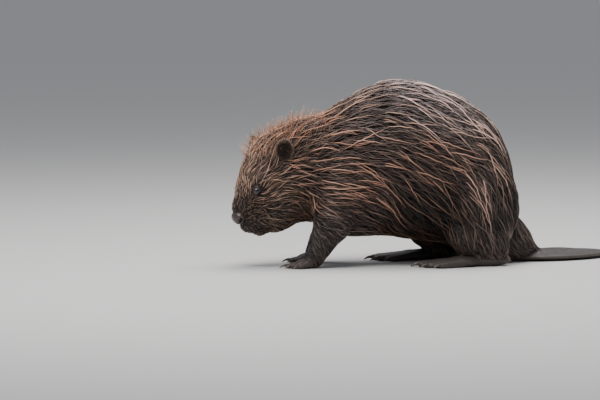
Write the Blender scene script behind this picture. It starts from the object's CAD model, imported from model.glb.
"""A life-size beaver: one skin, a wet coat of mesh locks, eyes, ears, claws, whiskers and tail scales."""

import math

import bmesh
import bpy
import numpy as np
from mathutils import Matrix, Vector
from mathutils.kdtree import KDTree


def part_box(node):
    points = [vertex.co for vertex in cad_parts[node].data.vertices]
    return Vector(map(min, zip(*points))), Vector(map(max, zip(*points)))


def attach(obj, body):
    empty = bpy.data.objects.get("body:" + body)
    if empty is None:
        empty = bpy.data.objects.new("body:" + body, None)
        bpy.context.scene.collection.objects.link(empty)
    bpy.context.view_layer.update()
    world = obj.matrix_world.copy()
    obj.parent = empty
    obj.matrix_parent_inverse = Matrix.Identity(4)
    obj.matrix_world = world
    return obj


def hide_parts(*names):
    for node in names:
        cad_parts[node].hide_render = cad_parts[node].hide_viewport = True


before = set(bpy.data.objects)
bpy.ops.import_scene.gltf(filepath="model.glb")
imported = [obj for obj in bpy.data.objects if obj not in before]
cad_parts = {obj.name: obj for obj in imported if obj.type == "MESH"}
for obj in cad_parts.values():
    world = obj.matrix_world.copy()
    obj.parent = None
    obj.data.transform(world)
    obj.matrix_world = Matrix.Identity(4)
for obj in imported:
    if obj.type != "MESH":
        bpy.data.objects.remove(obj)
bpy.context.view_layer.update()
MM = 0.001
rng = np.random.default_rng(20)

# ---- The animal's shape, in millimetres
# The same forms as the solids'. Each one also has its coat's depth, by which the skin lies inside them.
NOSE = np.array([-275.0, -29.0, 94.0])
HEAD_PITCH, HEAD_YAW = math.radians(45), math.radians(16)
FORE_STANCE, HIND_STANCE = 66, 88
FORE_LAG, HIND_LEAD = 32, 50
TAIL_YAW = math.radians(28)
EYE = np.array([52, 36.5, 22])
EYE_RADIUS = 7.0
EAR = np.array([139, 59, 41])
NOSE_PAD = np.array([2, 0, -2])
LEFT, RIGHT = -1, 1
SIDES = {LEFT: "left", RIGHT: "right"}


def ball(at, radii, coat, blend, pitch=0, yaw=0, paired=False, hollow=False):
    turn = (math.radians(pitch), yaw)
    return dict(at=np.array(at, float), radii=np.array(radii, float), coat=coat, blend=blend,
                turn=turn, paired=paired, hollow=hollow)


def limb(start, end, start_radius, end_radius, coat, blend):
    return dict(start=np.array(start, float), end=np.array(end, float),
                radii=np.array([start_radius, end_radius], float), coat=coat, blend=blend)


TRUNK = [
    ball((44, 0, 203), (150, 116, 148), 12, 40),  # back and belly
    ball((124, 0, 181), (130, 122, 136), 12, 40),  # loins
    ball((177, 0, 128), (84, 100, 92), 12, 40),  # rump
    ball((-52, 0, 178), (104, 94, 122), 12, 40),  # shoulders and chest
    limb((-100, 0, 190), (-165, 2, 182), 82, 66, 12, 30),  # neck
    ball((-142, 0, 218), (64, 58, 62), 12, 24),  # nape
    ball((-142, 0, 128), (44, 42, 43), 9, 24),  # throat
]
# Back, out and up from the nose, along the head's own axes
HEAD = [
    ball((110, 0, 10), (66, 54, 56), 9, 24),  # skull
    ball((140, 0, 14), (48, 53, 56), 10, 24),  # crown
    ball((88, 30, -30), (52, 29, 42), 9, 20, paired=True),  # cheeks
    ball((81, 0, -50), (60, 38, 43), 8, 24),  # jaw
    ball((66, 22, 16), (32, 19, 20), 5, 20, paired=True),  # brows
    ball((44, 0, 2), (46, 26, 32), 4, 16),  # bridge
    ball((38, 0, -18), (38, 29, 31), 4, 12),  # muzzle
    ball((17, 13, -30), (22, 18, 21), 3, 8, paired=True),  # upper lips
    ball((30, 0, -50), (27, 20, 15), 3, 8),  # chin
    ball((2, 0, -1), (12, 17, 14), 0.5, 4),  # nose pad
    ball(EYE + [0, 17, 0], (14, 12, 12), -1.5, 8, paired=True, hollow=True),  # eye sockets
]
HEAD_BLEND = 24


def toes(side, root, lengths, spread, splay, root_height, tip_height, root_radius, tip_radius):
    made = []
    for i, length in enumerate(lengths):
        place = i - (len(lengths) - 1) / 2
        angle = math.radians(place * splay)
        start = (root[0] + 3 * abs(place), root[1] - place * spread * side, root_height)
        end = (start[0] - math.cos(angle) * length, start[1] - math.sin(angle) * side * length, tip_height)
        made.append(limb(start, end, root_radius, tip_radius, 0.4, 4))
    return made


def wrist_of(side):
    return -134 + (FORE_LAG if side == RIGHT else 0), FORE_STANCE * side


def heel_of(side):
    return 222 - (HIND_LEAD if side == RIGHT else 0), HIND_STANCE * side


def fore_toes(side):
    x, y = wrist_of(side)
    return toes(side, (x - 24, y), (18, 25, 27, 25, 17), 7.5, 14, 9, 4.4, 5.8, 4.8)


def hind_toes(side):
    x, y = heel_of(side)
    return toes(side, (x - 88, y + 2 * side), (46, 60, 68, 66, 52), 10.5, 11, 9, 5.4, 8.4, 6.2)


def foreleg(side):
    x, y = wrist_of(side)
    elbow = (x + 34, y, 84)
    return [
        limb((x + 50, y - 10 * side, 150), elbow, 46, 32, 8, 24),  # shoulder to elbow
        limb(elbow, (x, y, 24), 33, 20, 4, 14),  # elbow to wrist
        ball((x - 14, y, 9), (24, 19, 11), 1, 8),  # palm
    ] + fore_toes(side)


def hindleg(side):
    x, y = heel_of(side)
    hip = 186 - (0.6 * HIND_LEAD if side == RIGHT else 0)
    return [
        ball((hip, 76 * side, 106), (72, 44, 92), 10, 24, pitch=-8),  # thigh
        limb((x - 58, y - 4 * side, 60), (x - 8, y - 2 * side, 30), 32, 20, 5, 24),  # knee to heel
        ball((x - 28, y, 11), (46, 18, 13), 1, 10),  # heel and sole
        ball((x - 78, y + 2 * side, 9), (30, 30, 11), 0.6, 10),  # ball of the foot
        ball((x - 118, y + 3 * side, 4.5), (40, 38, 5.5), 0.4, 6),  # web between the toes
    ] + hind_toes(side)


TAIL = [
    limb((200, 0, 90), (268, 6, 42), 60, 34, 8, 30),
    limb((262, 4, 40), (314, 22, 14), 32, 15, 3, 20),
    ball((378, 56, 8), (114, 60, 10), 0.8, 10, yaw=TAIL_YAW),  # blade
    ball((346, 39, 8), (84, 24, 15), 0.8, 6, yaw=TAIL_YAW),  # the blade's thick middle
]
BODY = TRUNK + [form for side in SIDES for form in foreleg(side) + hindleg(side)] + TAIL


def head_axes():
    pitch, yaw = HEAD_PITCH, HEAD_YAW
    back = np.array([math.cos(pitch) * math.cos(yaw), math.cos(pitch) * math.sin(yaw), math.sin(pitch)])
    right = np.array([-math.sin(yaw), math.cos(yaw), 0.0])
    return np.stack([back, right, np.cross(back, right)])


HEAD_AXES = head_axes()


def rotation(angle, first, second):
    """A rotation by an angle in the plane of two of the three axes."""
    made = np.eye(3)
    made[first, first] = made[second, second] = math.cos(angle)
    made[first, second], made[second, first] = math.sin(angle), -math.sin(angle)
    return made


def mirrored(points):
    """The same places, all on the side where y is positive."""
    return np.stack([points[:, 0], np.abs(points[:, 1]), points[:, 2]], 1)


def to_head(points):
    return (points - NOSE) @ HEAD_AXES.T


def from_head(points):
    return np.asarray(points) @ HEAD_AXES + NOSE


def distance_to(form, points, inset):
    """How far points lie outside a form whose surface is moved in by a share of its coat's depth."""
    radii = form["radii"] - form["coat"] * inset
    if "start" in form:
        axis = form["end"] - form["start"]
        length = np.linalg.norm(axis)
        offset = points - form["start"]
        along = offset @ axis / length
        across = np.sqrt(np.maximum((offset ** 2).sum(1) - along ** 2, 0))
        taper = (radii[0] - radii[1]) / length
        straight = math.sqrt(1 - taper * taper)
        place = np.clip(along - across * taper / straight, 0, length)
        slanted = across * straight + along * taper - radii[0]
        start_cap = np.hypot(along, across) - radii[0]
        end_cap = np.hypot(along - length, across) - radii[1]
        return np.where(place <= 0, start_cap, np.where(place >= length, end_cap, slanted))
    offset = (mirrored(points) if form["paired"] else points) - form["at"]
    pitch, yaw = form["turn"]
    if yaw:
        offset = offset @ rotation(yaw, 1, 0)
    if pitch:
        offset = offset @ rotation(pitch, 2, 0)
    scaled = offset / radii
    share = np.sqrt((scaled ** 2).sum(1))
    slope = np.sqrt(((scaled / radii) ** 2).sum(1))
    return share * (share - 1) / np.maximum(slope, 1e-9)


def smooth_union(a, b, blend):
    h = np.maximum(blend - np.abs(a - b), 0) / blend
    return np.minimum(a, b) - h * h * blend / 4


def joined(forms, points, inset, reach):
    distance = np.full(len(points), 1e6)
    for form in forms:
        middle = form["at"] if "at" in form else (form["start"] + form["end"]) / 2
        size = form["radii"].max() + (np.linalg.norm(form["end"] - middle) if "end" in form else 0)
        offset = (mirrored(points) if form.get("paired") else points) - middle
        near = np.nonzero((offset ** 2).sum(1) < (size + form["blend"] + reach) ** 2)[0]
        own = distance_to(form, points[near], inset)
        if form.get("hollow"):
            distance[near] = -smooth_union(-distance[near], own, form["blend"])
        else:
            distance[near] = smooth_union(distance[near], own, form["blend"])
    return distance


def field(points, inset, reach=40.0):
    """How far points lie outside the coat (inset 0) or the skin (inset 1), in millimetres. It is right
    for points up to the reach away from the surface."""
    made = []
    for chunk in np.array_split(points, max(1, len(points) // 60000)):
        body = joined(BODY, chunk, inset, reach)
        made.append(smooth_union(body, joined(HEAD, to_head(chunk), inset, reach), HEAD_BLEND))
    return np.concatenate(made)


def slope_of(points, inset=1.0, step=0.4):
    """The field's value and gradient, from four samples on a tetrahedron."""
    corners = np.array([[1, 1, 1], [1, -1, -1], [-1, 1, -1], [-1, -1, 1]], float)
    values = [field(points + corner * step, inset) for corner in corners]
    gradient = sum(value[:, None] * corner for value, corner in zip(values, corners)) / (4 * step)
    return sum(values) / 4, gradient


def unit(vectors):
    return vectors / np.maximum(np.linalg.norm(vectors, axis=1, keepdims=True), 1e-9)


def settle(points, level=0.0, rounds=2, most=6.0, inset=1.0):
    """Moves points onto the surface, or to a level outside it, and gives the normals there."""
    for _ in range(rounds):
        value, gradient = slope_of(points, inset)
        steep = np.maximum((gradient ** 2).sum(1), 0.2)
        move = gradient * ((value - level) / steep)[:, None]
        size = np.linalg.norm(move, axis=1, keepdims=True)
        points = points - move * np.minimum(1, most / np.maximum(size, 1e-9))
    return points, unit(gradient)


# ---- The skin's net
CELL = 3.7
LOW = np.array([-300.0, -150.0, -12.0])
HIGH = np.array([500.0, 150.0, 356.0])


def field_grid():
    """The skin's field on a grid: in full near the surface, and roughly elsewhere."""
    blocks = np.ceil((HIGH - LOW) / (4 * CELL)).astype(int)
    corners = [LOW[i] + 4 * CELL * np.arange(blocks[i] + 1) for i in range(3)]
    grid = np.stack(np.meshgrid(*corners, indexing="ij"), -1)
    rough = field(grid.reshape(-1, 3), 1.0, reach=1000.0).reshape(grid.shape[:3])
    near = np.abs(rough) < 4 * CELL * 1.8
    for axis in range(3):
        near = near | np.roll(near, 1, axis) | np.roll(near, -1, axis)
        near, rough = np.repeat(near, 4, axis), np.repeat(rough, 4, axis)
    axes = [LOW[i] + CELL * np.arange(near.shape[i]) for i in range(3)]
    index = np.nonzero(near)
    rough[index] = field(np.stack([axes[i][index[i]] for i in range(3)], 1), 1.0)
    return rough, axes


def surface_net(values, axes):
    """One vertex in each cell that the surface crosses, and a quad across each edge that it crosses."""
    inside = values < 0
    corners = [(i, j, k) for i in (0, 1) for j in (0, 1) for k in (0, 1)]
    shape = [n - 1 for n in values.shape]
    total = np.zeros(shape, int)
    for i, j, k in corners:
        total += inside[i:i + shape[0], j:j + shape[1], k:k + shape[2]]
    cells = np.argwhere((total > 0) & (total < 8))
    number = np.full(shape, -1)
    number[tuple(cells.T)] = np.arange(len(cells))
    sums = np.zeros((len(cells), 3))
    hits = np.zeros(len(cells))
    for axis in range(3):
        step = np.eye(3, dtype=int)[axis]
        for m in (0, 1):
            for n in (0, 1):
                start = np.zeros(3, int)
                start[(axis + 1) % 3], start[(axis + 2) % 3] = m, n
                a = values[tuple((cells + start).T)]
                b = values[tuple((cells + start + step).T)]
                crossed = (a < 0) != (b < 0)
                share = np.where(crossed, a / np.where(crossed, a - b, 1), 0)
                sums += crossed[:, None] * (start + share[:, None] * step)
                hits += crossed
    origin = np.array([axis[0] for axis in axes])
    points = origin + CELL * (cells + sums / hits[:, None])
    quads = []
    for axis in range(3):
        step = np.eye(3, dtype=int)[axis]
        a, b = np.eye(3, dtype=int)[(axis + 1) % 3], np.eye(3, dtype=int)[(axis + 2) % 3]
        first = inside[:-1, :-1, :-1]
        second = inside[step[0]:values.shape[0] - 1 + step[0], step[1]:values.shape[1] - 1 + step[1],
                        step[2]:values.shape[2] - 1 + step[2]]
        at = np.argwhere(first != second)
        at = at[(at > 0).all(1)]
        around = ((0, 0), (1, 0), (1, 1), (0, 1))
        ring = np.stack([number[tuple((at - m * a - n * b).T)] for m, n in around], 1)
        out = first[tuple(at.T)]
        quads.append(np.where(out[:, None], ring, ring[:, ::-1]))
    return points, np.concatenate(quads)


# ---- Meshes and materials
def in_metres(points):
    return ((points + SHIFT) * MM).astype(np.float32).reshape(-1)


def placed(name, data):
    made = bpy.data.objects.new(name, data)
    bpy.context.scene.collection.objects.link(made)
    return made


def store(mesh, name, kind, values):
    """Keeps a value for each vertex: "pelt" is its colour and wetness, "lie" its place along a lock."""
    layer = mesh.attributes.new(name, kind, "POINT")
    key = "color" if kind == "FLOAT_COLOR" else "vector"
    layer.data.foreach_set(key, values.astype(np.float32).reshape(-1))


def mesh_object(name, points, polygons, colours=None, lies=None, uvs=None, smooth=True):
    """A mesh in metres from millimetre points and a list of arrays of polygons of like size."""
    mesh = bpy.data.meshes.new(name)
    corners = np.concatenate([p.reshape(-1) for p in polygons]).astype(np.int32)
    sizes = np.concatenate([np.full(len(p), p.shape[1], np.int32) for p in polygons])
    starts = np.concatenate([[0], np.cumsum(sizes)[:-1]]).astype(np.int32)
    mesh.vertices.add(len(points))
    mesh.vertices.foreach_set("co", in_metres(points))
    mesh.loops.add(len(corners))
    mesh.loops.foreach_set("vertex_index", corners)
    mesh.polygons.add(len(sizes))
    mesh.polygons.foreach_set("loop_start", starts)
    mesh.polygons.foreach_set("loop_total", sizes)
    mesh.polygons.foreach_set("use_smooth", np.full(len(sizes), smooth))
    mesh.update(calc_edges=True)
    if colours is not None:
        store(mesh, "pelt", "FLOAT_COLOR", np.concatenate([colours, np.ones((len(colours), 1))], 1))
    if lies is not None:
        store(mesh, "lie", "FLOAT_VECTOR", lies)
    if uvs is not None:
        layer = mesh.uv_layers.new(name="OFBake")
        layer.data.foreach_set("uv", uvs[corners].astype(np.float32).reshape(-1))
    return placed(name, mesh)


def box_middle(node):
    low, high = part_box(node)
    return np.array((low + high) / 2) / MM


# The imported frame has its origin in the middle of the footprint: the left eye says how far that is.
SHIFT = box_middle("eye_left") - from_head([EYE * [1, LEFT, 1]])[0]


def linear(colour):
    """Linear light from an sRGB colour in 0 to 255."""
    c = np.asarray(colour, float) / 255
    return np.where(c <= 0.04045, c / 12.92, ((c + 0.055) / 1.055) ** 2.4)


def painted_over(shades, colour, share):
    """Mixes a colour into the shades, by a share for each vertex."""
    return shades + (linear(colour) - shades) * share[:, None]


# ---- Where things are on the head
def eye_axes(side):
    """An eye's middle, and its own axes: forward along the lids, up across them, and out of the head."""
    middle = from_head([EYE * [1, side, 1]])[0]
    out = unit(np.array([[-0.28, 0.93 * side, 0.22]]) @ HEAD_AXES)[0]
    forward = unit(np.array([[-1.0, 0, -0.15]]) @ HEAD_AXES)[0]
    forward = forward - out * (forward @ out)
    forward /= np.linalg.norm(forward)
    return middle, np.stack([forward, np.cross(out, forward) * side, out])


def smoothstep(value, low, high):
    t = np.clip((value - low) / (high - low), 0, 1)
    return t * t * (3 - 2 * t)


def bell(value, width, middle=0):
    return np.exp(-((value - middle) / width) ** 2)


def gap_to(place, points):
    return np.linalg.norm(points - place, axis=1)


def segment_distance(points, start, end):
    start, axis = np.asarray(start, float), np.subtract(end, start)
    share = np.clip((points - start) @ axis / (axis @ axis), 0, 1)
    return np.linalg.norm(points - start - share[:, None] * axis, axis=1)


# ---- Markings
def blended(points, table, reach):
    """Blends a table's values over the surface, each strongest round its own x and z."""
    gaps = np.stack([(points[:, 0] - x) ** 2 + (points[:, 2] - z) ** 2 for (x, z), _ in table], 1)
    weights = np.exp(-(gaps - gaps.min(1, keepdims=True)) / (2 * reach ** 2))
    return weights @ np.array([value for _, value in table]) / weights.sum(1, keepdims=True)


# The colour of the lit ridges of the coat, by where they are
PELT = [
    ((-275, 110), (112, 94, 85)),  # muzzle
    ((-258, 70), (86, 70, 64)),  # lips
    ((-262, 175), (186, 152, 132)),  # bridge
    ((-240, 150), (146, 118, 101)),  # cheeks
    ((-215, 235), (162, 122, 98)),  # crown
    ((-160, 270), (176, 130, 106)),  # nape
    ((-190, 110), (120, 98, 84)),  # jaw
    ((-150, 160), (156, 122, 105)),  # neck
    ((-60, 300), (146, 118, 105)),  # withers
    ((-70, 180), (162, 124, 107)),  # shoulder
    ((50, 330), (182, 156, 148)),  # back
    ((40, 200), (156, 120, 103)),  # flank
    ((60, 125), (66, 50, 41)),  # low flank
    ((30, 80), (86, 64, 53)),  # belly
    ((150, 300), (178, 153, 142)),  # loins
    ((170, 200), (164, 134, 120)),  # haunch
    ((235, 205), (48, 42, 38)),  # rump
    ((250, 80), (90, 77, 70)),  # under the rump
    ((-110, 70), (94, 81, 76)),  # foreleg
    ((-130, 10), (68, 58, 53)),  # forefoot
    ((180, 30), (86, 73, 67)),  # hock
]


def pelt_colour(points):
    return linear(blended(points, PELT, 32))


# ---- The skin
FACE_DETAIL = [(EYE, 17), ((4, 0, -16), 36)]  # places on one side of the head, and how far round them
NOSTRILS = [((-8, 7.5, -7), (-5.5, 11.5, -5)), ((-5.5, 11.5, -5), (-1, 15.5, -1))]
PHILTRUM = [((-10, 0, -2), (-7, 0, -12)), ((-7, 0, -12), (-1, 0, -26)), ((-1, 0, -26), (7, 0, -44))]
MOUTH = [((6, 0, -45), (17, 15, -48)), ((17, 15, -48), (42, 26, -47))]
GROOVES = [(NOSTRILS, 6.5, 2.5), (PHILTRUM, 1.8, 1.2), (MOUTH, 3.2, 2.0)]  # each with its depth and width
MUZZLE_MIDDLE = [12, 0, -6]


def refine(skin, wanted, cuts):
    """Divides the faces whose middles are wanted, into cuts + 1 along each side."""
    bm = bmesh.new()
    bm.from_mesh(skin.data)
    middles = np.array([face.calc_center_median() for face in bm.faces]) / MM - SHIFT
    chosen = [face for face, pick in zip(bm.faces, wanted(middles)) if pick and len(face.verts) == 4]
    edges = list({edge for face in chosen for edge in face.edges})
    bmesh.ops.subdivide_edges(bm, edges=edges, cuts=cuts, use_grid_fill=True)
    bmesh.ops.triangulate(bm, faces=[face for face in bm.faces if len(face.verts) > 4])
    bm.to_mesh(skin.data)
    bm.free()


def fetched(items, key, each, kind=np.float32):
    """One property of all the items of a mesh, a row for each."""
    flat = np.empty(len(items) * each, kind)
    items.foreach_get(key, flat)
    return flat.reshape(-1, each)


def points_of(made):
    return fetched(made.data.vertices, "co", 3).astype(float) / MM - SHIFT


def set_points(made, points):
    made.data.vertices.foreach_set("co", in_metres(points))
    made.data.update()


def near_face_detail(middles):
    local = mirrored(to_head(middles))
    return np.any([gap_to(place, local) < reach for place, reach in FACE_DETAIL], axis=0)


def bare_or_face(middles):
    local = to_head(middles)
    on_face = (local[:, 0] < 100) & (middles[:, 0] < -150)
    on_foot = (middles[:, 2] < 34) & (middles[:, 0] < 250)
    return (on_face | on_foot) & ~near_face_detail(middles)


def groove_distance(local, segments):
    """How far places on the head are from segments that are given on one of its sides."""
    return np.min([segment_distance(mirrored(local), *segment) for segment in segments], axis=0)


def carved(points):
    """Sinks the nostrils, the lip's cleft and the mouth into the skin, and gives the light left in them."""
    local = to_head(points)
    out = unit(local - MUZZLE_MIDDLE) @ HEAD_AXES
    light = np.ones(len(points))
    for segments, depth, width in GROOVES:
        cut = bell(groove_distance(local, segments), width)
        points = points - out * (depth * cut)[:, None]
        light = light * (1 - 0.92 * cut)
    return points, light


LID_LENGTH, LID_HEIGHT, LID_THICKNESS = 6.1, 5.0, 0.9  # half the length and height of the lids' opening
LID_DIP = 2.6  # how far the skin lies behind the ball's surface inside the lids
LID_CREASES = ((1.55, 0.8), (1.95, 0.5))  # each one's place, in sizes of the opening, and its depth


def lidded(points, side):
    """Shapes the skin round an eye: it dips under the ball inside the lids, and their rims stand over it."""
    middle, axes = eye_axes(side)
    local = (points - middle) @ axes.T
    lid_height = np.where(local[:, 1] > 0, LID_HEIGHT, LID_HEIGHT * 0.9)
    opening = np.hypot(local[:, 0] / LID_LENGTH, local[:, 1] / lid_height)
    from_axis = np.hypot(local[:, 0], local[:, 1])
    near = (from_axis < 20) & (local[:, 2] > -8)
    ball_height = np.sqrt(np.maximum(EYE_RADIUS ** 2 - from_axis ** 2, 0))
    rim = ball_height + LID_THICKNESS
    behind = ball_height - LID_DIP
    rise = smoothstep(opening, 0.86, 1.03)
    height = behind * (1 - rise) + (rim - LID_THICKNESS * smoothstep(opening, 1.1, 1.4)) * rise
    outside = smoothstep(opening, 1.15, 2.3)
    crease = sum(depth * bell(opening, 0.13, place) for place, depth in LID_CREASES)
    target = height * (1 - outside) + local[:, 2] * outside - crease
    local[:, 2] = np.where(near, target, local[:, 2])
    return local @ axes + middle


def bareness(points):
    """1 where the skin shows, and 0 where the coat covers it."""
    at_nostrils = 1 - smoothstep(groove_distance(to_head(points), NOSTRILS), 6.5, 8.0)
    return np.maximum(1 - smoothstep(-field(points, 0.0), 1.3, 2.6), at_nostrils)


BARE = [
    ((-277, 112), (80, 67, 61)),  # nose, above
    ((-278, 92), (54, 45, 42)),  # nose
    ((-258, 66), (50, 40, 36)),  # lips
    ((-250, 145), (48, 36, 31)),  # round the eyes
    ((-160, 8), (64, 54, 49)),  # forefeet
    ((110, 8), (60, 53, 49)),  # hind feet
    ((380, 10), (74, 66, 61)),  # tail
]


def skin_colour(points):
    bare = linear(blended(points, BARE, 14))
    share = bareness(points)[:, None]
    colour = bare * share + pelt_colour(points) * 0.16 * (1 - share)
    for side in SIDES:
        middle, axes = eye_axes(side)
        at_eye = (points - middle) @ axes.T
        opening = np.hypot(at_eye[:, 0] / LID_LENGTH, at_eye[:, 1] / LID_HEIGHT)
        rim = bell(opening, 0.14, 1.08) * (np.abs(at_eye[:, 2]) < 12)
        around = np.exp(-(opening / 1.7) ** 4) * (np.abs(at_eye[:, 2]) < 14)
        colour = painted_over(colour, (40, 30, 27), 0.8 * around)
        colour = painted_over(colour, (104, 78, 72), 0.8 * rim * (at_eye[:, 1] < 2))
    return colour


def wetness(points):
    """1 on the nose pad and inside the lids, and 0 elsewhere."""
    local = to_head(points)
    nose = (1 - smoothstep(local[:, 0], 2, 8)) * smoothstep(local[:, 2], -16, -12)
    return np.maximum(nose, gap_to(EYE, mirrored(local)) < 8.5)


def make_skin():
    points, quads = surface_net(*field_grid())
    points, _ = settle(points)
    skin = mesh_object("skin", points, [quads])
    refine(skin, near_face_detail, 3)
    refine(skin, bare_or_face, 1)
    points, _ = settle(points_of(skin), rounds=3)
    points, light = carved(points)
    for side in SIDES:
        points = lidded(points, side)
    points[:, 2] = np.maximum(points[:, 2], 0)
    set_points(skin, points)
    colours = np.concatenate([skin_colour(points) * light[:, None], wetness(points)[:, None]], 1)
    store(skin.data, "pelt", "FLOAT_COLOR", colours)
    unwrap(skin)
    return skin


def unwrap(skin):
    skin.data.uv_layers.new(name="OFBake")
    bpy.context.view_layer.objects.active = skin
    skin.select_set(True)
    bpy.ops.object.mode_set(mode="EDIT")
    bpy.ops.mesh.select_all(action="SELECT")
    bpy.ops.uv.smart_project(angle_limit=math.radians(66), island_margin=0.001)
    bpy.ops.object.mode_set(mode="OBJECT")
    skin.select_set(False)


# ---- The coat
# How the coat lies, seen from the left: x and z of a place, and the angle there in degrees below the
# level line to the rear.
COMB = [
    (-278, 117, -50), (-278, 153, -78), (-260, 201, -80), (-231, 235, -50), (-258, 145, -62),  # face
    (-225, 184, -50), (-212, 146, -15), (-231, 104, 0), (-193, 98, 5), (-168, 246, -38),  # head
    (-157, 175, 0), (-156, 127, 10), (-119, 265, -22), (-105, 200, 5), (-105, 150, 8),  # neck
    (-119, 104, 12), (-92, 112, 8), (-125, 74, 40), (-137, 45, 70),  # foreleg
    (-42, 312, -12), (55, 331, 10), (26, 290, 24), (100, 302, 40), (137, 262, 42), (190, 262, 32),  # back
    (-60, 150, 8), (-18, 235, 5), (90, 225, 12), (0, 175, 28), (83, 188, 30), (160, 218, 18),  # flank
    (15, 125, 50), (100, 155, 45), (130, 180, 34), (192, 160, 68), (219, 131, 76),  # belly and thigh
    (250, 170, 68), (269, 103, 88), (250, 60, 60), (300, 25, 20),  # rump and tail
]
COMB_WAYS = [((x, z), (math.cos(math.radians(turn)), math.sin(math.radians(turn)))) for x, z, turn in COMB]


def comb(points, normals, turn=0.0):
    """The way the coat lies along the surface, with slow waves and a turn of its own to the side."""
    level, down = blended(points, COMB_WAYS, 30).T
    yaw = HEAD_YAW * (1 - smoothstep(points[:, 0], -165, -105))
    way = np.stack([level * np.cos(yaw), level * np.sin(yaw), -down], 1)
    way[:, 1] += 0.16 * np.sign(points[:, 1]) * np.maximum(normals[:, 2], 0)
    for side in SIDES:  # parts round the eyes, the ears and the nose
        for place, reach, strength in ((EYE, 9.0, 1.4), (EAR - [4, 6, 8], 12.0, 1.3), (NOSE_PAD, 22.0, 1.6)):
            offset = points - from_head([place * [1, side, 1]])[0]
            near = np.exp(-((offset ** 2).sum(1)) / (2 * reach ** 2))
            way += unit(offset) * (near * strength)[:, None]
    way = unit(way - normals * (way * normals).sum(1)[:, None])
    wave = 0.09 * np.sin(points @ [0.075, 0.05, 0.09] + 1.3) + 0.04 * np.sin(points @ [-0.06, 0.07, 0.16])
    angle = (wave + turn)[:, None]
    return way * np.cos(angle) + np.cross(normals, way) * np.sin(angle)


def march(roots, lengths, steps, turn):
    """Lines over the skin that follow the coat from their roots: points, normals and the coat's depth."""
    points, normals = settle(roots, rounds=1)
    line, ups = [points], [normals]
    for _ in range(steps):
        way = comb(points, normals, turn)
        points, normals = settle(points + way * (lengths / steps)[:, None], rounds=1)
        line.append(points)
        ups.append(normals)
    line, ups = np.stack(line, 1), np.stack(ups, 1)
    depth = np.maximum(-field(line.reshape(-1, 3), 0.0), 0).reshape(line.shape[:2])
    return line, ups, depth


def tree_of(points):
    tree = KDTree(len(points))
    for i, point in enumerate(points):
        tree.insert(point, i)
    tree.balance()
    return tree


class Roots:
    """Places on the skin, each with its place on the skin's unwrap and the depth of the coat there."""

    def __init__(self, skin):
        mesh = skin.data
        mesh.calc_loop_triangles()
        self.corners = fetched(mesh.loop_triangles, "vertices", 3, np.int32)
        self.points = points_of(skin)
        uv = fetched(mesh.uv_layers["OFBake"].uv, "vector", 2)
        self.uv = uv[fetched(mesh.loop_triangles, "loops", 3, np.int32)]
        a, b, c = (self.points[self.corners[:, i]] for i in range(3))
        crossed = np.cross(b - a, c - a)
        self.areas, self.normals = np.linalg.norm(crossed, axis=1) / 2, unit(crossed)
        self.depth = -field(self.points, 0.0)
        self.tree = tree_of((a + b + c) / 3)

    def uv_near(self, points):
        """The skin's own place on its unwrap, nearest to each point."""
        return np.array([self.uv[self.tree.find(point)[1]].mean(0) for point in points])

    def scatter(self, gap_at, wanted, stretch=1.0):
        """Roots at least a gap apart across the way that the coat lies, and stretch times that along it.
        gap_at gives the gap, and wanted the share of roots to keep, from places and coat depths."""
        middles = self.points[self.corners].mean(1)
        depth = self.depth[self.corners].mean(1)
        gaps = gap_at(middles, depth)
        share = self.areas / (stretch * gaps ** 2) * wanted(middles, depth)
        count = int(share.sum() * 2.6)
        pick = rng.choice(len(share), count, p=share / share.sum())
        w = rng.random((count, 2))
        w = np.where(w.sum(1, keepdims=True) > 1, 1 - w, w)
        w = np.stack([1 - w.sum(1), w[:, 0], w[:, 1]], 1)[:, :, None]
        places = (self.points[self.corners[pick]] * w).sum(1)
        uv = (self.uv[pick] * w).sum(1)
        ways = comb(places, self.normals[pick])
        gaps = gaps[pick]
        tree = tree_of(places)
        free, kept = np.ones(count, bool), []
        for i in range(count):
            if free[i]:
                kept.append(i)
                near = np.array([j for _, j, _ in tree.find_range(places[i], gaps[i] * stretch)])
                offset = places[near] - places[i]
                along = offset @ ways[i]
                across = (offset ** 2).sum(1) - along ** 2
                free[near[(along / stretch) ** 2 + across < gaps[i] ** 2]] = False
        return places[kept], uv[kept], depth[pick][kept]


FULL_DEPTH, FULL_LENGTH = 12, 55  # the deepest coat, and the length of its locks, in millimetres


def lock_length(points, depth):
    """Locks are longer where the coat is deeper, shorter on the head, and shortest on the muzzle and feet."""
    back = to_head(points)[:, 0]
    on_head = (1 - smoothstep(back, 90, 165)) * (points[:, 0] < -140)
    on_foreleg = (1 - smoothstep(points[:, 2], 75, 120)) * smoothstep(points[:, 2], 14, 30)
    on_foreleg = on_foreleg * (points[:, 0] > -172) * (points[:, 0] < -40)
    length = FULL_LENGTH * (np.maximum(depth, 0.5) / FULL_DEPTH) ** 1.6 * (1 - 0.32 * on_head)
    least = 22 * on_foreleg + (5.5 + 9.5 * smoothstep(back, 25, 75)) * on_head
    return length + np.maximum(least - length, 0) * smoothstep(depth, 1, 3)


def clear_of_face(points, depth):
    """1 where the coat grows: not on bare skin, or close round the eyes and the nostrils."""
    local = to_head(points)
    growing = smoothstep(depth, 1.2, 1.7) * (groove_distance(local, NOSTRILS) > 6.8)
    return growing * (gap_to(EYE, mirrored(local)) > 8.6)


PATCH = 0.003  # how far across each lock's patch is on the skin's unwrap


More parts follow.
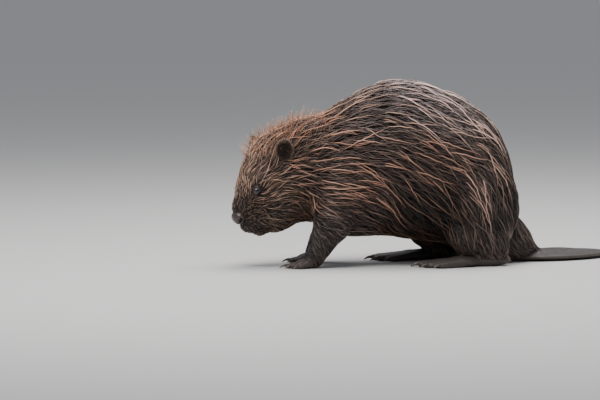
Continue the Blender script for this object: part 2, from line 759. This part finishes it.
def lock_marks(along, reach, half, phase, uv):
    """Each ring's place along and across its lock, for the streaks, and its patch of the unwrap."""
    lie = np.stack(np.broadcast_arrays(reach[:, :, None], half * [-1, 0, 1], phase[:, None, None]), -1)
    patch = np.stack(np.broadcast_arrays((along[None, :, None] - 0.5) * PATCH + 0 * reach[:, :, None],
                                         np.array([-1, 0, 1])[None, None] * (PATCH / 2)), -1)
    return dict(lie=lie, patch=patch + uv[:, None, None])


def place_locks(roots, spec):
    """Builds a layer of the coat. Each root has a guide line, and its locks run beside it and meet at
    its tip. Returns, for each lock, its rings of left, top and right points, and its tip."""
    places, uv, depth = roots
    count = len(places)
    lengths = lock_length(places, depth) * spec["length"] * rng.uniform(0.75, 1.2, count)
    line, ups, depths = march(places, lengths, 11, rng.normal(0, spec["turn"], count))
    ahead = unit(np.gradient(line, axis=1).reshape(-1, 3)).reshape(line.shape)
    aside = np.cross(ups, ahead)

    each = spec["locks"]
    guide = np.repeat(np.arange(count), each)
    total = len(guide)
    size = lengths[guide] / FULL_LENGTH
    row = np.tile(np.arange(each) - (each - 1) / 2, count) / max((each - 1) / 2, 1)
    offset = (row + rng.normal(0, 0.12, total)) * spec["spread"] * size
    start = rng.uniform(-0.02, 0.22, total) if each > 1 else np.zeros(total)
    end = rng.uniform(0.8, 1.0, total) if each > 1 else np.ones(total)
    width = spec["width"] * size ** 0.4 * rng.uniform(0.75, 1.25, total)
    phase, own_phase = rng.uniform(0, 6.28, count)[guide], rng.uniform(0, 6.28, total)
    wave, own_wave = spec["wave"] * size * rng.uniform(0.4, 1.3, count)[guide], 0.32 * size
    lift = rng.uniform(0.85, 1.1, total)
    roll = rng.normal(0, 0.35, total)
    rings = spec["rings"]
    along = np.linspace(0, 1, rings + 1)
    at = np.clip(start[:, None] + (end - start)[:, None] * along, 0, 1)

    spot = at * (line.shape[1] - 1)
    low = np.minimum(spot.astype(int), line.shape[1] - 2)
    part = spot - low

    def sampled(values):
        part_of = part[..., None] if values.ndim == 3 else part
        return values[guide[:, None], low] * (1 - part_of) + values[guide[:, None], low + 1] * part_of

    point, up, side, deep = sampled(line), sampled(ups), sampled(aside), sampled(depths)
    reach = at * lengths[guide][:, None]
    lateral = offset[:, None] * (1 - at) ** 1.25
    lateral = lateral + wave[:, None] * np.sin(reach / 12 + phase[:, None]) * (at * (1.3 - at) * 2)
    lateral = lateral + own_wave[:, None] * np.sin(reach / 3.4 + own_phase[:, None])
    root, middle, tip = spec["heights"]
    height = root + (middle - root) * smoothstep(along, 0, 0.45) + (tip - middle) * smoothstep(along, 0.5, 1)
    height = height[None] * lift[:, None] * deep
    half = width[:, None] / 2 * np.minimum(1, 0.45 + 2.2 * along) * (1 - smoothstep(along, 0.45, 1.06))
    across = side * np.cos(roll)[:, None, None] + up * np.sin(roll)[:, None, None]
    crest = up * np.cos(roll)[:, None, None] - side * np.sin(roll)[:, None, None]
    base = point + side * lateral[..., None] + up * height[..., None]
    over = field(base.reshape(-1, 3), 0.0).reshape(base.shape[:2])
    base = base - up * np.maximum(over + 0.3, 0)[..., None]
    base[..., 2] = np.maximum(base[..., 2], 0.3 + 1.2 * half)
    left = base - across * half[..., None] - crest * (half * 0.35)[..., None]
    right = base + across * half[..., None] - crest * (half * 0.35)[..., None]
    top = base + crest * (half * spec["crest"])[..., None]
    section = np.stack([left, top, right], 2)  # lock, ring, 3, xyz
    tone = rng.uniform(*spec["tone"], count)[guide] * rng.uniform(0.85, 1.15, total)
    ramp = np.interp(along, [0, 0.3, 0.8, 1], [0.4, 0.9, 1.0, 1.12])
    colour = pelt_colour(places)
    colour = (colour + (colour.mean(1, keepdims=True) - colour) * spec["grey"])[guide] * tone[:, None]
    shades = colour[:, None, None] * ramp[None, :, None, None] * np.array(spec["sides"])[None, None, :, None]
    marks = lock_marks(along, reach, half[:, :, None], own_phase, uv[guide])
    return dict(marks, section=section, shades=shades, root=places[guide])


def lock_mesh(name, layers, wanted):
    """Joins the wanted locks of the layers into one piece. Each lock's last ring meets in its tip."""
    parts, triangles, quads, offset = {"section": [], "shades": [], "lie": [], "patch": []}, [], [], 0
    for layer in layers:
        pick = wanted(layer["root"])
        count, rows = layer["section"][pick].shape[:2]
        if not count:
            continue
        rings = rows - 1
        for key, values in parts.items():
            own = layer[key][pick]
            body = own[:, :-1].reshape(count, -1, own.shape[-1])
            values.append(np.concatenate([body, own[:, -1].mean(1)[:, None]], 1).reshape(-1, own.shape[-1]))
        per = rings * 3 + 1
        first = offset + np.arange(count)[:, None, None] * per
        ring = 3 * np.arange(rings - 1)[None, :, None]
        sides = np.array([[0, 1, 4, 3], [1, 2, 5, 4], [2, 0, 3, 5]])
        quads.append((first[..., None] + ring[..., None] + sides[None, None]).reshape(-1, 4))
        last = 3 * (rings - 1)
        caps = np.array([[last, last + 1, per - 1], [last + 1, last + 2, per - 1], [last + 2, last, per - 1],
                         [0, 2, 1]])
        triangles.append((first + caps[None]).reshape(-1, 3))
        offset += count * per
    points, *marks = (np.concatenate(values) for values in parts.values())
    return mesh_object(name, points, [np.concatenate(quads), np.concatenate(triangles)], *marks)


MATTED = dict(locks=1, length=0.75, width=4.6, spread=0, wave=0.8, turn=0.12, rings=6, crest=0.5,
              heights=(0.05, 0.5, 0.25), tone=(0.18, 0.36), sides=(0.7, 1.0, 0.7), grey=0.4)
WOOL = dict(locks=1, length=0.85, width=1.9, spread=0, wave=1.0, turn=0.2, rings=6, crest=0.8,
            heights=(0.2, 0.78, 0.5), tone=(0.18, 0.6), sides=(0.45, 1.0, 0.4), grey=0.32)
STRANDS = dict(locks=1, length=1.15, width=1.4, spread=0, wave=1.3, turn=0.22, rings=8, crest=1.1,
               heights=(0.4, 0.92, 0.75), tone=(0.45, 1.05), sides=(0.4, 1.15, 0.35), grey=0.2)
RIDGES = dict(locks=1, length=1.75, width=2.1, spread=0, wave=0.8, turn=0.2, rings=12, crest=1.2,
              heights=(0.5, 1.08, 1.0), tone=(1.2, 1.9), sides=(0.3, 1.2, 0.25), grey=-0.12)
FORKS = dict(RIDGES, locks=2, length=1.1, spread=8.0, turn=0.26, rings=9)
FINE = dict(RIDGES, length=1.9, width=1.75, wave=0.5, rings=9, tone=(0.8, 2.1))  # cheeks, crown and legs
POINTS = dict(RIDGES, length=1.35, width=2.6, rings=4)  # short ones, on the muzzle and feet
FUZZ = dict(WOOL, rings=4, tone=(0.15, 0.5))
SHORT, MIDDLING, ANY = 14, 34, 99  # limits for the lengths of locks, in millimetres
# For each layer: its locks, the gaps between them across their lie where they are of full length, the
# least gap on the head, how much wider the gaps are along the lie, and the range of lock lengths that it has
LAYERS = {
    "matted": (MATTED, 7.4, 2.0, 1.0, SHORT, ANY),
    "matted_short": (dict(MATTED, rings=4), 9.5, 2.4, 1.0, 0, SHORT),
    "wool": (WOOL, 4.9, 1.5, 1.0, SHORT, ANY),
    "wool_short": (FUZZ, 9.0, 1.6, 1.0, 0, SHORT),
    "strands": (STRANDS, 5.6, 1.4, 3.0, SHORT, ANY),
    "ridges": (RIDGES, 9.6, 2.4, 5.0, MIDDLING, ANY),
    "ridges_face": (FINE, 7.6, 1.9, 5.0, SHORT, MIDDLING),
    "forks": (FORKS, 21.0, 6.0, 3.0, SHORT, ANY),
    "ridges_short": (POINTS, 9.0, 2.1, 2.6, 0, SHORT),
}


def spaced(gap, least):
    """Gaps that go with the locks' lengths, with a least one that is wider off the head."""
    def gap_at(points, depth):
        off_head = smoothstep(points[:, 0], -175, -140)
        return np.maximum(gap * lock_length(points, depth) / FULL_LENGTH, least * (1 + 0.4 * off_head))
    return gap_at


def tufts(points, ways, bends, out, lengths, half, colours, uv, rings=5, ramp=(0.4, 0.95, 1.25)):
    """A layer of free tufts, each from a point along its way, bending as it goes and thinning to its tip."""
    count = len(points)
    along = np.linspace(0, 1, rings + 1)
    line = points[:, None] + ways[:, None] * (along * lengths[:, None])[..., None]
    line = line + (bends * lengths[:, None])[:, None] * (along ** 2)[:, None]
    side = unit(np.cross(ways, out))
    crest = np.cross(side, ways)
    half = (half[:, None] * (1 - along) ** 0.8 * np.minimum(1, 0.6 + 2 * along))[..., None]
    section = np.stack([line + (side[:, None] * x + crest[:, None] * y) * half
                        for x, y in ((-0.87, -0.5), (0.0, 1.0), (0.87, -0.5))], 2)
    ramp = np.interp(along, [0, 0.35, 1], ramp)
    shades = colours[:, None, None] * ramp[None, :, None, None] * np.ones((1, 1, 3, 1))
    marks = lock_marks(along, along * lengths[:, None], half, rng.uniform(0, 6.28, count), uv)
    return dict(marks, section=section, shades=shades, root=points)


SPIKE_GAP = 4.5


def spikes(scatter):
    """The wet spikes that stand along the crown and the nape."""
    def along_crown(points, depth):
        middle = np.abs(to_head(points)[:, 1])
        across = np.where(points[:, 0] < -165, middle, np.abs(points[:, 1]))
        top = (points[:, 2] > 200) & (points[:, 0] > -268) & (points[:, 0] < -104)
        return top * bell(across, 32)

    places, uv, _ = scatter.scatter(lambda points, depth: np.full(len(points), SPIKE_GAP), along_crown)
    count = len(places)
    points, ups = settle(places, rounds=1)
    lie = comb(points, ups, rng.normal(0, 0.3, count))
    stand = rng.uniform(0.62, 1.05, count)[:, None]
    ways = unit(ups * stand + lie * (1.15 - stand) + rng.normal(0, 0.1, (count, 3)))
    fading = np.interp(points[:, 0], [-268, -240, -150, -104], [0.6, 1.0, 1.0, 0.7])
    lengths = rng.uniform(20, 40, count) * fading
    colours = pelt_colour(places) * rng.uniform(0.8, 1.6, count)[:, None]
    return tufts(points, ways, lie * rng.uniform(-0.1, 0.25, count)[:, None], ups, lengths,
                 rng.uniform(0.85, 1.5, count), colours, uv, rings=6)


def ear_fur(side, scatter):
    """Dark down inside an ear, a paler fringe on its rim and short fur on its back."""
    axes = ear_axes(side)
    layers = []
    for count, reach, back, way, length, colour, ramp in (
            (560, (0.0, 0.97), -1, (-0.5, 0.0, 0.8), (5, 9), (76, 61, 54), (0.5, 0.8, 1.2)),
            (300, (0.93, 1.0), -1, (-0.05, 0.7, 0.7), (3.5, 6.5), (120, 96, 80), (0.6, 1.0, 1.3)),
            (520, (0.2, 1.0), 1, (0.12, 0.1, 1.0), (6, 10), (110, 84, 68), (0.4, 0.9, 1.2))):
        angle = rng.uniform(0, 2 * math.pi, count)
        share = np.sqrt(rng.uniform(reach[0] ** 2, reach[1] ** 2, count))
        across, up = np.cos(angle) * share, np.sin(angle) * share
        depths = [2.6, 2.3, 0.2, -2.6] if back < 0 else [5.7, 5.5, 4.1, -1.0]
        deep = np.interp(share, [0, 0.3, 0.68, 0.98], depths)
        local = np.stack([deep, across * EAR_RADII[1], up * EAR_RADII[2]], 1)
        ways = np.stack([np.full(count, way[0]), way[1] * np.cos(angle) * 1.2,
                         way[2] + way[1] * np.sin(angle) * 0.6], 1)
        ways = unit(ways + rng.normal(0, 0.16, (count, 3)))
        out = np.stack([np.full(count, float(back)), 0.3 * across, 0.3 * up], 1)
        keep = up > (-0.75 if reach[1] == 1.0 else -1)
        points = from_head(local[keep] @ axes + EAR * [1, side, 1])
        ways, out = ways[keep] @ axes @ HEAD_AXES, unit(out[keep] @ axes @ HEAD_AXES)
        total = len(points)
        lengths, widths = rng.uniform(*length, total), rng.uniform(0.35, 0.65, total)
        colours = linear(colour) * rng.uniform(0.6, 1.3, (total, 1))
        layers.append(tufts(points, ways, out * 0.12, out, lengths, widths, colours, scatter.uv_near(points),
                            rings=3, ramp=ramp))
    return layers


def coat_layers(skin):
    scatter = Roots(skin)
    layers = {}
    for name, (spec, gap, least, stretch, shortest, longest) in LAYERS.items():
        def wanted(points, depth):
            length = lock_length(points, depth)
            return clear_of_face(points, depth) * (length >= shortest) * (length < longest)
        layers[name] = place_locks(scatter.scatter(spaced(gap, least), wanted, stretch), spec)
    layers["spikes"] = spikes(scatter)
    layers["ears"] = [layer for side in SIDES for layer in ear_fur(side, scatter)]
    return layers, scatter


# ---- Eyes, ears, claws, whiskers, scales
def finished(made, look, node_name=None):
    """Gives a piece its slot and its material, and rides it with the body."""
    made.data.materials.append(look)
    if node_name:
        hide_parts(node_name)
    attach(made, "root")
    return made


def circle(sides):
    """Angles in equal steps round a full turn."""
    return np.arange(sides) * 2 * math.pi / sides


def tube_faces(rings, sides, offset=0):
    """Quads round a tube of closed rings, and a cap on its first and last ring."""
    ring = np.arange(rings - 1)[:, None] * sides
    corner = np.arange(sides)[None]
    after = (corner + 1) % sides
    following = ring + sides
    quads = np.stack(np.broadcast_arrays(ring + corner, ring + after,
                                         following + after, following + corner), -1)
    caps = np.stack([np.arange(sides)[::-1], np.arange(sides) + (rings - 1) * sides])
    return quads.reshape(-1, 4) + offset, caps + offset


def tubes(name, lines, radii, sides, shades):
    """Joined tapering tubes: each has a line of points, a radius at each, and a colour at each."""
    points, quads, caps, colours, lies, offset = [], [], [], [], [], 0
    for line, radius, shade_of in zip(lines, radii, shades):
        ahead = unit(np.gradient(line, axis=0))
        side = unit(np.cross(ahead, [0.02, 0.03, 1.0]))
        up = np.cross(side, ahead)
        angle = circle(sides)
        around = side[:, None] * np.cos(angle)[None, :, None] + up[:, None] * np.sin(angle)[None, :, None]
        points.append((line[:, None] + around * radius[:, None, None]).reshape(-1, 3))
        colours.append(np.repeat(shade_of, sides, 0))
        reach = np.concatenate([[0], np.cumsum(np.linalg.norm(np.diff(line, axis=0), axis=1))])
        own = np.full(len(line) * sides, offset)
        lies.append(np.stack([np.repeat(reach, sides), np.tile(angle, len(line)), own], 1))
        quad, cap = tube_faces(len(line), sides, offset)
        quads.append(quad)
        caps.append(cap)
        offset += len(line) * sides
    return mesh_object(name, np.concatenate(points), [np.concatenate(quads), np.concatenate(caps)],
                       np.concatenate(colours), np.concatenate(lies))


CLAW_RINGS, CLAW_SIDES = 12, 10


def claws(name, toe_list, length, radius):
    """Curved, blunt-tipped claws, deeper than they are wide."""
    share = np.linspace(0, 1, CLAW_RINGS)
    lines, radii, shades = [], [], []
    for toe in toe_list:
        along = toe["end"] - toe["start"]
        along = along * [1, 1, 0] / np.hypot(along[0], along[1])
        line = toe["end"] + along * (share * (length + toe["radii"][1]))[:, None]
        line[:, 2] += 2 * np.sin(share * math.pi) - (toe["end"][2] - 1) * share ** 2
        lines.append(line)
        radii.append(radius * 0.92 * (1 - share ** 1.6) ** 0.7 + 0.12)
        shades.append(linear(np.outer(1 - share, (46, 38, 34)) + np.outer(share, (104, 92, 80))))
    made = tubes(name, lines, radii, CLAW_SIDES, shades)
    points = points_of(made)
    middles = np.repeat(np.concatenate(lines), CLAW_SIDES, 0)
    points = middles + (points - middles) * [0.9, 0.9, 1.0]
    points[:, 2] = np.maximum(points[:, 2], 0.05)
    set_points(made, points)
    return made


EYE_RINGS, EYE_SIDES = 39, 40
PUPIL = (3, 3, 4)
# The iris, its rim and the white: the colour, and how far from the pupil's middle it sets in and is full
EYE_PAINT = (((50, 57, 68), 3.0, 4.0), ((12, 11, 12), 5.0, 5.9), ((62, 46, 42), 6.3, 6.6))


def eyeball(side):
    """A ball with a slightly raised cornea, its iris and pupil painted round its own axis."""
    middle, axes = eye_axes(side)
    turn, rise = np.meshgrid(circle(EYE_SIDES), np.linspace(0, math.pi, EYE_RINGS + 2)[1:-1])
    from_axis, turn = rise.reshape(-1), turn.reshape(-1)
    across = np.sin(from_axis)
    ball_points = np.stack([across * np.cos(turn), across * np.sin(turn), np.cos(from_axis)], 1)
    ball_points *= (EYE_RADIUS * (1 + 0.05 * bell(from_axis, 0.5)))[:, None]
    reach = np.hypot(ball_points[:, 0] + 1.1, ball_points[:, 1] + 0.3)
    reach = np.where(from_axis > math.pi / 2, 99, reach)
    shades = linear(PUPIL)
    for colour, inner, outer in EYE_PAINT:
        shades = painted_over(shades, colour, smoothstep(reach, inner, outer))
    quads, caps = tube_faces(EYE_RINGS, EYE_SIDES)
    lies = np.stack([turn, reach, 0 * reach], 1)
    points = ball_points @ axes + middle
    if side == LEFT:
        quads, caps = quads[:, ::-1], caps[:, ::-1]
    return mesh_object("eyeball_" + SIDES[side], points, [quads, caps], shades, lies)


EAR_RADII = np.array([5.5, 14.5, 19.0])  # half the thickness, the width and the height
EAR_TURN, EAR_LEAN, EAR_TILT = math.radians(56), math.radians(10), math.radians(40)
EAR_SIDES = 48


def ear_axes(side):
    """The ear's axes in the head's frame: back, across and up."""
    turn, lean = -side * EAR_TURN, -side * EAR_LEAN
    return rotation(turn, 0, 1) @ rotation(lean, 1, 2) @ rotation(EAR_TILT, 2, 0)


def ear_shell():
    """A rounded cup, thick at its base and thin at its rim, with a fold inside. Its points are given
    as rings from the cup's floor, out to the rim and back to the middle of the ear's back."""
    profile = [(0.08, 2.6), (0.3, 2.3), (0.5, 1.4), (0.68, 0.2), (0.82, -1.2), (0.92, -2.4), (0.98, -2.9),
               (1.0, -2.2), (1.0, -1.2), (0.96, 0.4), (0.88, 2.0), (0.72, 3.8), (0.5, 5.0), (0.25, 5.6),
               (0.06, 5.7)]
    angle = circle(EAR_SIDES)
    rings = []
    for reach, back in profile:
        across, up = np.cos(angle) * reach, np.sin(angle) * reach
        fold = 1.5 * bell(angle, 0.5, 3.6) * (0.3 < reach < 0.9) * (back < 2.5)
        wave = 0.5 * np.sin(angle * 3 + 1) * reach ** 2
        rings.append(np.stack([back + wave - fold, across * EAR_RADII[1], up * EAR_RADII[2]], 1))
    local = np.concatenate(rings)
    return local, len(profile)


def make_ear(side):
    local, rings = ear_shell()
    axes = ear_axes(side)
    points = from_head(local @ axes + EAR * [1, side, 1])
    quads, caps = tube_faces(rings, EAR_SIDES)
    reach = np.hypot(local[:, 1] / EAR_RADII[1], local[:, 2] / EAR_RADII[2])
    front = np.repeat(np.arange(rings) < 6, EAR_SIDES)
    inside, back = linear([(54, 44, 40), (78, 60, 49)])
    edge = smoothstep(reach, 0.84, 0.97) * smoothstep(local[:, 2], -0.5 * EAR_RADII[2], 0.3 * EAR_RADII[2])
    shades = painted_over(np.where(front[:, None], inside, back), (112, 90, 78), edge)
    if side == RIGHT:
        quads, caps = quads[:, ::-1], caps[:, ::-1]
    return mesh_object("ear_shell_" + SIDES[side], points, [quads, caps], shades, local[:, [1, 2, 0]])


def whisker_lines():
    lines, share = [], np.linspace(0, 1, 10)[:, None]
    for side in SIDES:
        for i in range(9):
            row, column = divmod(i, 3)
            root = np.array([[16 + 6 * column + 1.5 * row, side * (24 + 2.4 * column), -10 - 7 * row]])
            root = to_head(settle(from_head(root), rounds=3)[0])[0]
            way = np.array([-0.35 + 0.22 * column, side * (0.95 + rng.uniform(-0.1, 0.1)), 0.35 - 0.5 * row])
            way /= np.linalg.norm(way)
            length = rng.uniform(24, 40) + 5 * column
            sag = np.array([0.5, 0, -0.2]) * length
            lines.append(from_head(root + way * length * share + sag * share ** 2 * 0.6))
    return lines


def whiskers():
    lines = whisker_lines()
    share = np.linspace(0, 1, 10)
    pale = linear(np.outer(1 - share, (90, 74, 62)) + np.outer(share, (190, 178, 162)))
    return tubes("whiskers", lines, [0.32 * (1 - 0.8 * share)] * len(lines), 5, [pale] * len(lines))


SCALE_LENGTH, SCALE_WIDTH = 7.4, 5.6
SCALED_LENGTH, SCALED_WIDTH, SCALED_FRONT = 108, 55, -80  # the oval that has scales, from the blade's middle


def tail_scales(scatter):
    """Low hexagonal plates in staggered rows over both faces of the tail's blade."""
    blade = TAIL[2]
    ahead = np.array([math.cos(TAIL_YAW), math.sin(TAIL_YAW), 0])
    across = np.array([-math.sin(TAIL_YAW), math.cos(TAIL_YAW), 0])
    rows, columns = np.arange(-34, 35), np.arange(-24, 25)
    u, v = np.meshgrid(rows * SCALE_LENGTH * 0.5, columns * SCALE_WIDTH, indexing="ij")
    v = v + (np.arange(len(rows)) % 2)[:, None] * SCALE_WIDTH / 2
    u, v = u.reshape(-1), v.reshape(-1)
    keep = ((u / SCALED_LENGTH) ** 2 + (v / SCALED_WIDTH) ** 2 < 1) & (u > SCALED_FRONT)
    u, v = u[keep], v[keep]
    hexagon = np.array([(-0.5, 0), (-0.18, -0.5), (0.3, -0.46), (0.5, 0), (0.3, 0.46), (-0.18, 0.5)])
    centres = blade["at"] + u[:, None] * ahead + v[:, None] * across
    faces = [settle(centres + [0, 0, face * 16], rounds=6, most=20)[0] for face in (1, -1)]
    centres = np.concatenate(faces)
    centres = centres[centres[:, 2] > 0.9]
    centres, normals = settle(centres)
    count = len(centres)
    forward = unit(ahead - normals * (normals @ ahead)[:, None])
    side = np.cross(normals, forward)
    size = rng.uniform(0.92, 1.04, (count, 1, 1))
    tilt = np.array([0.15, 0.3, 0.42, 0.5, 0.42, 0.3])
    lengthwise, sideways = (hexagon * [SCALE_LENGTH, SCALE_WIDTH] * 0.97).T[:, None, :, None]
    spot = centres[:, None] + forward[:, None] * lengthwise * size + side[:, None] * sideways * size
    low = spot - normals[:, None] * 0.35
    high = centres[:, None] + (spot - centres[:, None]) * 0.8 + normals[:, None] * (tilt * 0.9)[None, :, None]
    points = np.concatenate([low, high], 1).reshape(-1, 3)
    index = 12 * np.arange(count)[:, None, None]
    after = np.roll(np.arange(6), -1)
    walls = np.stack([np.arange(6), after, after + 6, np.arange(6) + 6], 1)
    plates = np.stack([np.arange(6) + 6, np.arange(6)[::-1]])
    shades = linear(np.array([(70, 62, 58)]) * rng.uniform(0.72, 1.2, (count, 1)))
    shades = np.repeat(shades, 12, 0) * np.tile(np.repeat([0.45, 1.0], 6), count)[:, None]
    patch = np.concatenate([hexagon, hexagon * 0.8]) * PATCH
    uvs = (scatter.uv_near(centres)[:, None] + patch[None]).reshape(-1, 2)
    lies = np.stack([points[:, 0], points[:, 1], np.repeat(rng.random(count) * 9, 12)], 1)
    polygons = [(index + walls[None]).reshape(-1, 4), (index + plates[None]).reshape(-1, 6)]
    return mesh_object("tail_scales", points, polygons, shades, lies, uvs, smooth=False)


# ---- Materials
def material(name, roughness):
    made = bpy.data.materials.new(name)
    made.use_nodes = True
    nodes, links = made.node_tree.nodes, made.node_tree.links
    shader = nodes["Principled BSDF"]
    shader.inputs["Roughness"].default_value = roughness
    return made, nodes, links, shader


def add_node(nodes, kind, **values):
    made = nodes.new(kind)
    for name, value in values.items():
        if hasattr(made, name):
            setattr(made, name, value)
        else:
            made.inputs[name.replace("_", " ")].default_value = value
    return made


def painted(name, roughness, scale, detail, low, high):
    """A material whose colours are the piece's own, made darker and lighter by a noise. The noise comes
    back with it, to be given its coordinates."""
    made, nodes, links, shader = material(name, roughness)
    pelt = add_node(nodes, "ShaderNodeAttribute", attribute_name="pelt")
    noise = add_node(nodes, "ShaderNodeTexNoise", Scale=scale, Detail=detail)
    spread = add_node(nodes, "ShaderNodeMapRange", To_Min=low, To_Max=high)
    links.new(noise.outputs["Fac"], spread.inputs["Value"])
    tint = add_node(nodes, "ShaderNodeVectorMath", operation="SCALE")
    links.new(pelt.outputs["Color"], tint.inputs[0])
    links.new(spread.outputs["Result"], tint.inputs["Scale"])
    links.new(tint.outputs["Vector"], shader.inputs["Base Color"])
    return made, nodes, links, shader, pelt, noise


def relief(nodes, links, shader, height, strength, distance):
    bump = add_node(nodes, "ShaderNodeBump", Strength=strength, Distance=distance)
    links.new(height, bump.inputs["Height"])
    links.new(bump.outputs["Normal"], shader.inputs["Normal"])


def skin_material():
    """Mottled skin with fine cells, glossier where it is wet."""
    made, nodes, links, shader, pelt, mottle = painted("damp_skin", 0.5, 220.0, 4.0, 0.55, 1.5)
    place = nodes.new("ShaderNodeTexCoord")
    cells = add_node(nodes, "ShaderNodeTexVoronoi", Scale=620.0, feature="DISTANCE_TO_EDGE")
    for texture in (mottle, cells):
        links.new(place.outputs["Object"], texture.inputs["Vector"])
    gloss = add_node(nodes, "ShaderNodeMapRange", To_Min=0.55, To_Max=0.24)
    links.new(pelt.outputs["Alpha"], gloss.inputs["Value"])
    links.new(gloss.outputs["Result"], shader.inputs["Roughness"])
    relief(nodes, links, shader, cells.outputs["Distance"], 0.5, 0.0006)
    return made


def coat_material():
    """Wet hair with streaks along each lock."""
    made, nodes, links, shader, _, streaks = painted("wet_coat", 0.38, 1.0, 3.0, 0.35, 1.75)
    lie = add_node(nodes, "ShaderNodeAttribute", attribute_name="lie")
    stretch = add_node(nodes, "ShaderNodeMapping")
    stretch.inputs["Scale"].default_value = (0.06, 1.6, 7.0)
    links.new(lie.outputs["Vector"], stretch.inputs["Vector"])
    links.new(stretch.outputs["Vector"], streaks.inputs["Vector"])
    relief(nodes, links, shader, streaks.outputs["Fac"], 0.6, 0.0005)
    return made


def leather_material(name, roughness, scale, bump_height, gloss=0.0):
    """Skin-like paint with a mottle and a fine relief."""
    made, nodes, links, shader, _, mottle = painted(name, roughness, scale, 5.0, 0.6, 1.4)
    shader.inputs["Coat Weight"].default_value = gloss
    shader.inputs["Coat Roughness"].default_value = 0.06
    place = nodes.new("ShaderNodeTexCoord")
    links.new(place.outputs["Object"], mottle.inputs["Vector"])
    relief(nodes, links, shader, mottle.outputs["Fac"], 0.4, bump_height)
    return made


# ---- The stage
PHOTO_SCALE = 1.9  # millimetres to a pixel of the photo, at the animal
PHOTO_WIDTH, PHOTO_HEIGHT, SENSOR_WIDTH = 600, 400, 36
CAMERA_AZIMUTH, CAMERA_ELEVATION, CAMERA_DISTANCE = math.radians(-12), math.radians(4), 9.0
AXIS_PIXEL, FLOOR_PIXEL = 376.5, 264.0  # the photo's column and row of the frame's origin on the floor


def make_camera():
    right = Vector((math.cos(CAMERA_AZIMUTH), math.sin(CAMERA_AZIMUTH), 0))
    level = Vector((-math.sin(CAMERA_AZIMUTH), math.cos(CAMERA_AZIMUTH), 0))
    forward = level * math.cos(CAMERA_ELEVATION) - Vector((0, 0, math.sin(CAMERA_ELEVATION)))
    up = right.cross(forward)
    pixel = PHOTO_SCALE * MM
    aside, above = PHOTO_WIDTH / 2 - AXIS_PIXEL, FLOOR_PIXEL - PHOTO_HEIGHT / 2
    target = right * aside * pixel + up * above * pixel + Vector(SHIFT * MM)
    data = bpy.data.cameras.new("camera")
    data.lens = SENSOR_WIDTH * CAMERA_DISTANCE / (PHOTO_WIDTH * pixel)
    camera = placed("camera", data)
    camera.matrix_world = Matrix.Translation(target - forward * CAMERA_DISTANCE) @ Matrix(
        (right, up, -forward)).transposed().to_4x4()
    bpy.context.scene.camera = camera


def area_light(name, place, aim, size, power, colour=(1, 1, 1)):
    data = bpy.data.lights.new(name, "AREA")
    data.size, data.energy, data.color = size, power, colour
    light = placed(name, data)
    light.location = place
    light.rotation_euler = (Vector(aim) - Vector(place)).to_track_quat("-Z", "Y").to_euler()


def make_stage():
    mesh = bpy.data.meshes.new("floor")
    bm = bmesh.new()
    bmesh.ops.create_grid(bm, x_segments=1, y_segments=1, size=30)
    bm.to_mesh(mesh)
    bm.free()
    floor = placed("floor", mesh)
    made, _, _, shader = material("pale_floor", 0.9)
    shader.inputs["Base Color"].default_value = (0.62, 0.61, 0.59, 1)
    mesh.materials.append(made)
    world = bpy.data.worlds.new("studio")
    world.use_nodes = True
    light = world.node_tree.nodes["Background"].inputs
    light["Color"].default_value, light["Strength"].default_value = (0.74, 0.78, 0.84, 1), 0.5
    bpy.context.scene.world = world
    area_light("key", (-0.9, -1.0, 2.2), (0, 0, 0.15), 1.2, 46)
    area_light("sky", (0.4, 0.45, 2.6), (0, 0, 0.2), 2.0, 74, (1.0, 0.96, 0.96))


# ---- The build
skin = make_skin()
FLESH = [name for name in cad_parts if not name.startswith(("eye_", "ear_"))]
finished(skin, skin_material())
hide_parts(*FLESH)
EYE_LOOK = leather_material("wet_eye", 0.08, 300.0, 0.00001, gloss=0.25)
EAR_LOOK = leather_material("ear_skin", 0.6, 500.0, 0.0003)
CLAW_LOOK = leather_material("claw_horn", 0.4, 700.0, 0.0002, gloss=0.2)
for side, name in SIDES.items():
    finished(eyeball(side), EYE_LOOK, "eye_" + name)
    finished(make_ear(side), EAR_LOOK, "ear_" + name)
    finished(claws("fore_claws_" + name, fore_toes(side), 13, 2.7), CLAW_LOOK)
    finished(claws("hind_claws_" + name, hind_toes(side), 15, 3.6), CLAW_LOOK)
finished(whiskers(), leather_material("whisker_hair", 0.35, 400.0, 0.00005))

# The coat's pieces on each side, by the ranges of x and z that their locks are rooted in
FAR = 999
REGIONS = {
    "face": (-FAR, -215, -FAR, FAR),
    "head": (-215, -165, -FAR, FAR),
    "neck": (-165, -90, 110, FAR),
    "foreleg": (-165, -40, -FAR, 110),
    "shoulder": (-90, -40, 110, FAR),
    "flank": (-40, 110, 120, FAR),
    "belly": (-40, 110, -FAR, 120),
    "rump": (110, FAR, 150, FAR),
    "hindleg": (110, FAR, -FAR, 150),
}
COATS = {"undercoat": ["matted", "matted_short", "wool", "wool_short"],
         "coat": ["strands", "ridges", "ridges_face", "forks", "ridges_short", "spikes"]}


def rooted_in(region, side):
    front, rear, low, high = REGIONS[region]

    def wanted(points):
        x, y, z = points.T
        return (x >= front) & (x < rear) & (z >= low) & (z < high) & ((y < 0) == (side < 0))
    return wanted


layers, scatter = coat_layers(skin)
wet = coat_material()
for region in REGIONS:
    for name, chosen in COATS.items():
        for side, word in SIDES.items():
            own_layers = [layers[layer] for layer in chosen]
            piece = lock_mesh(f"{name}_{region}_{word}", own_layers, rooted_in(region, side))
            finished(piece, wet)

finished(lock_mesh("ear_fur", layers["ears"], lambda roots: np.full(len(roots), True)), wet)
finished(tail_scales(scatter), leather_material("tail_scale", 0.45, 350.0, 0.0003, gloss=0.15))

make_stage()
make_camera()
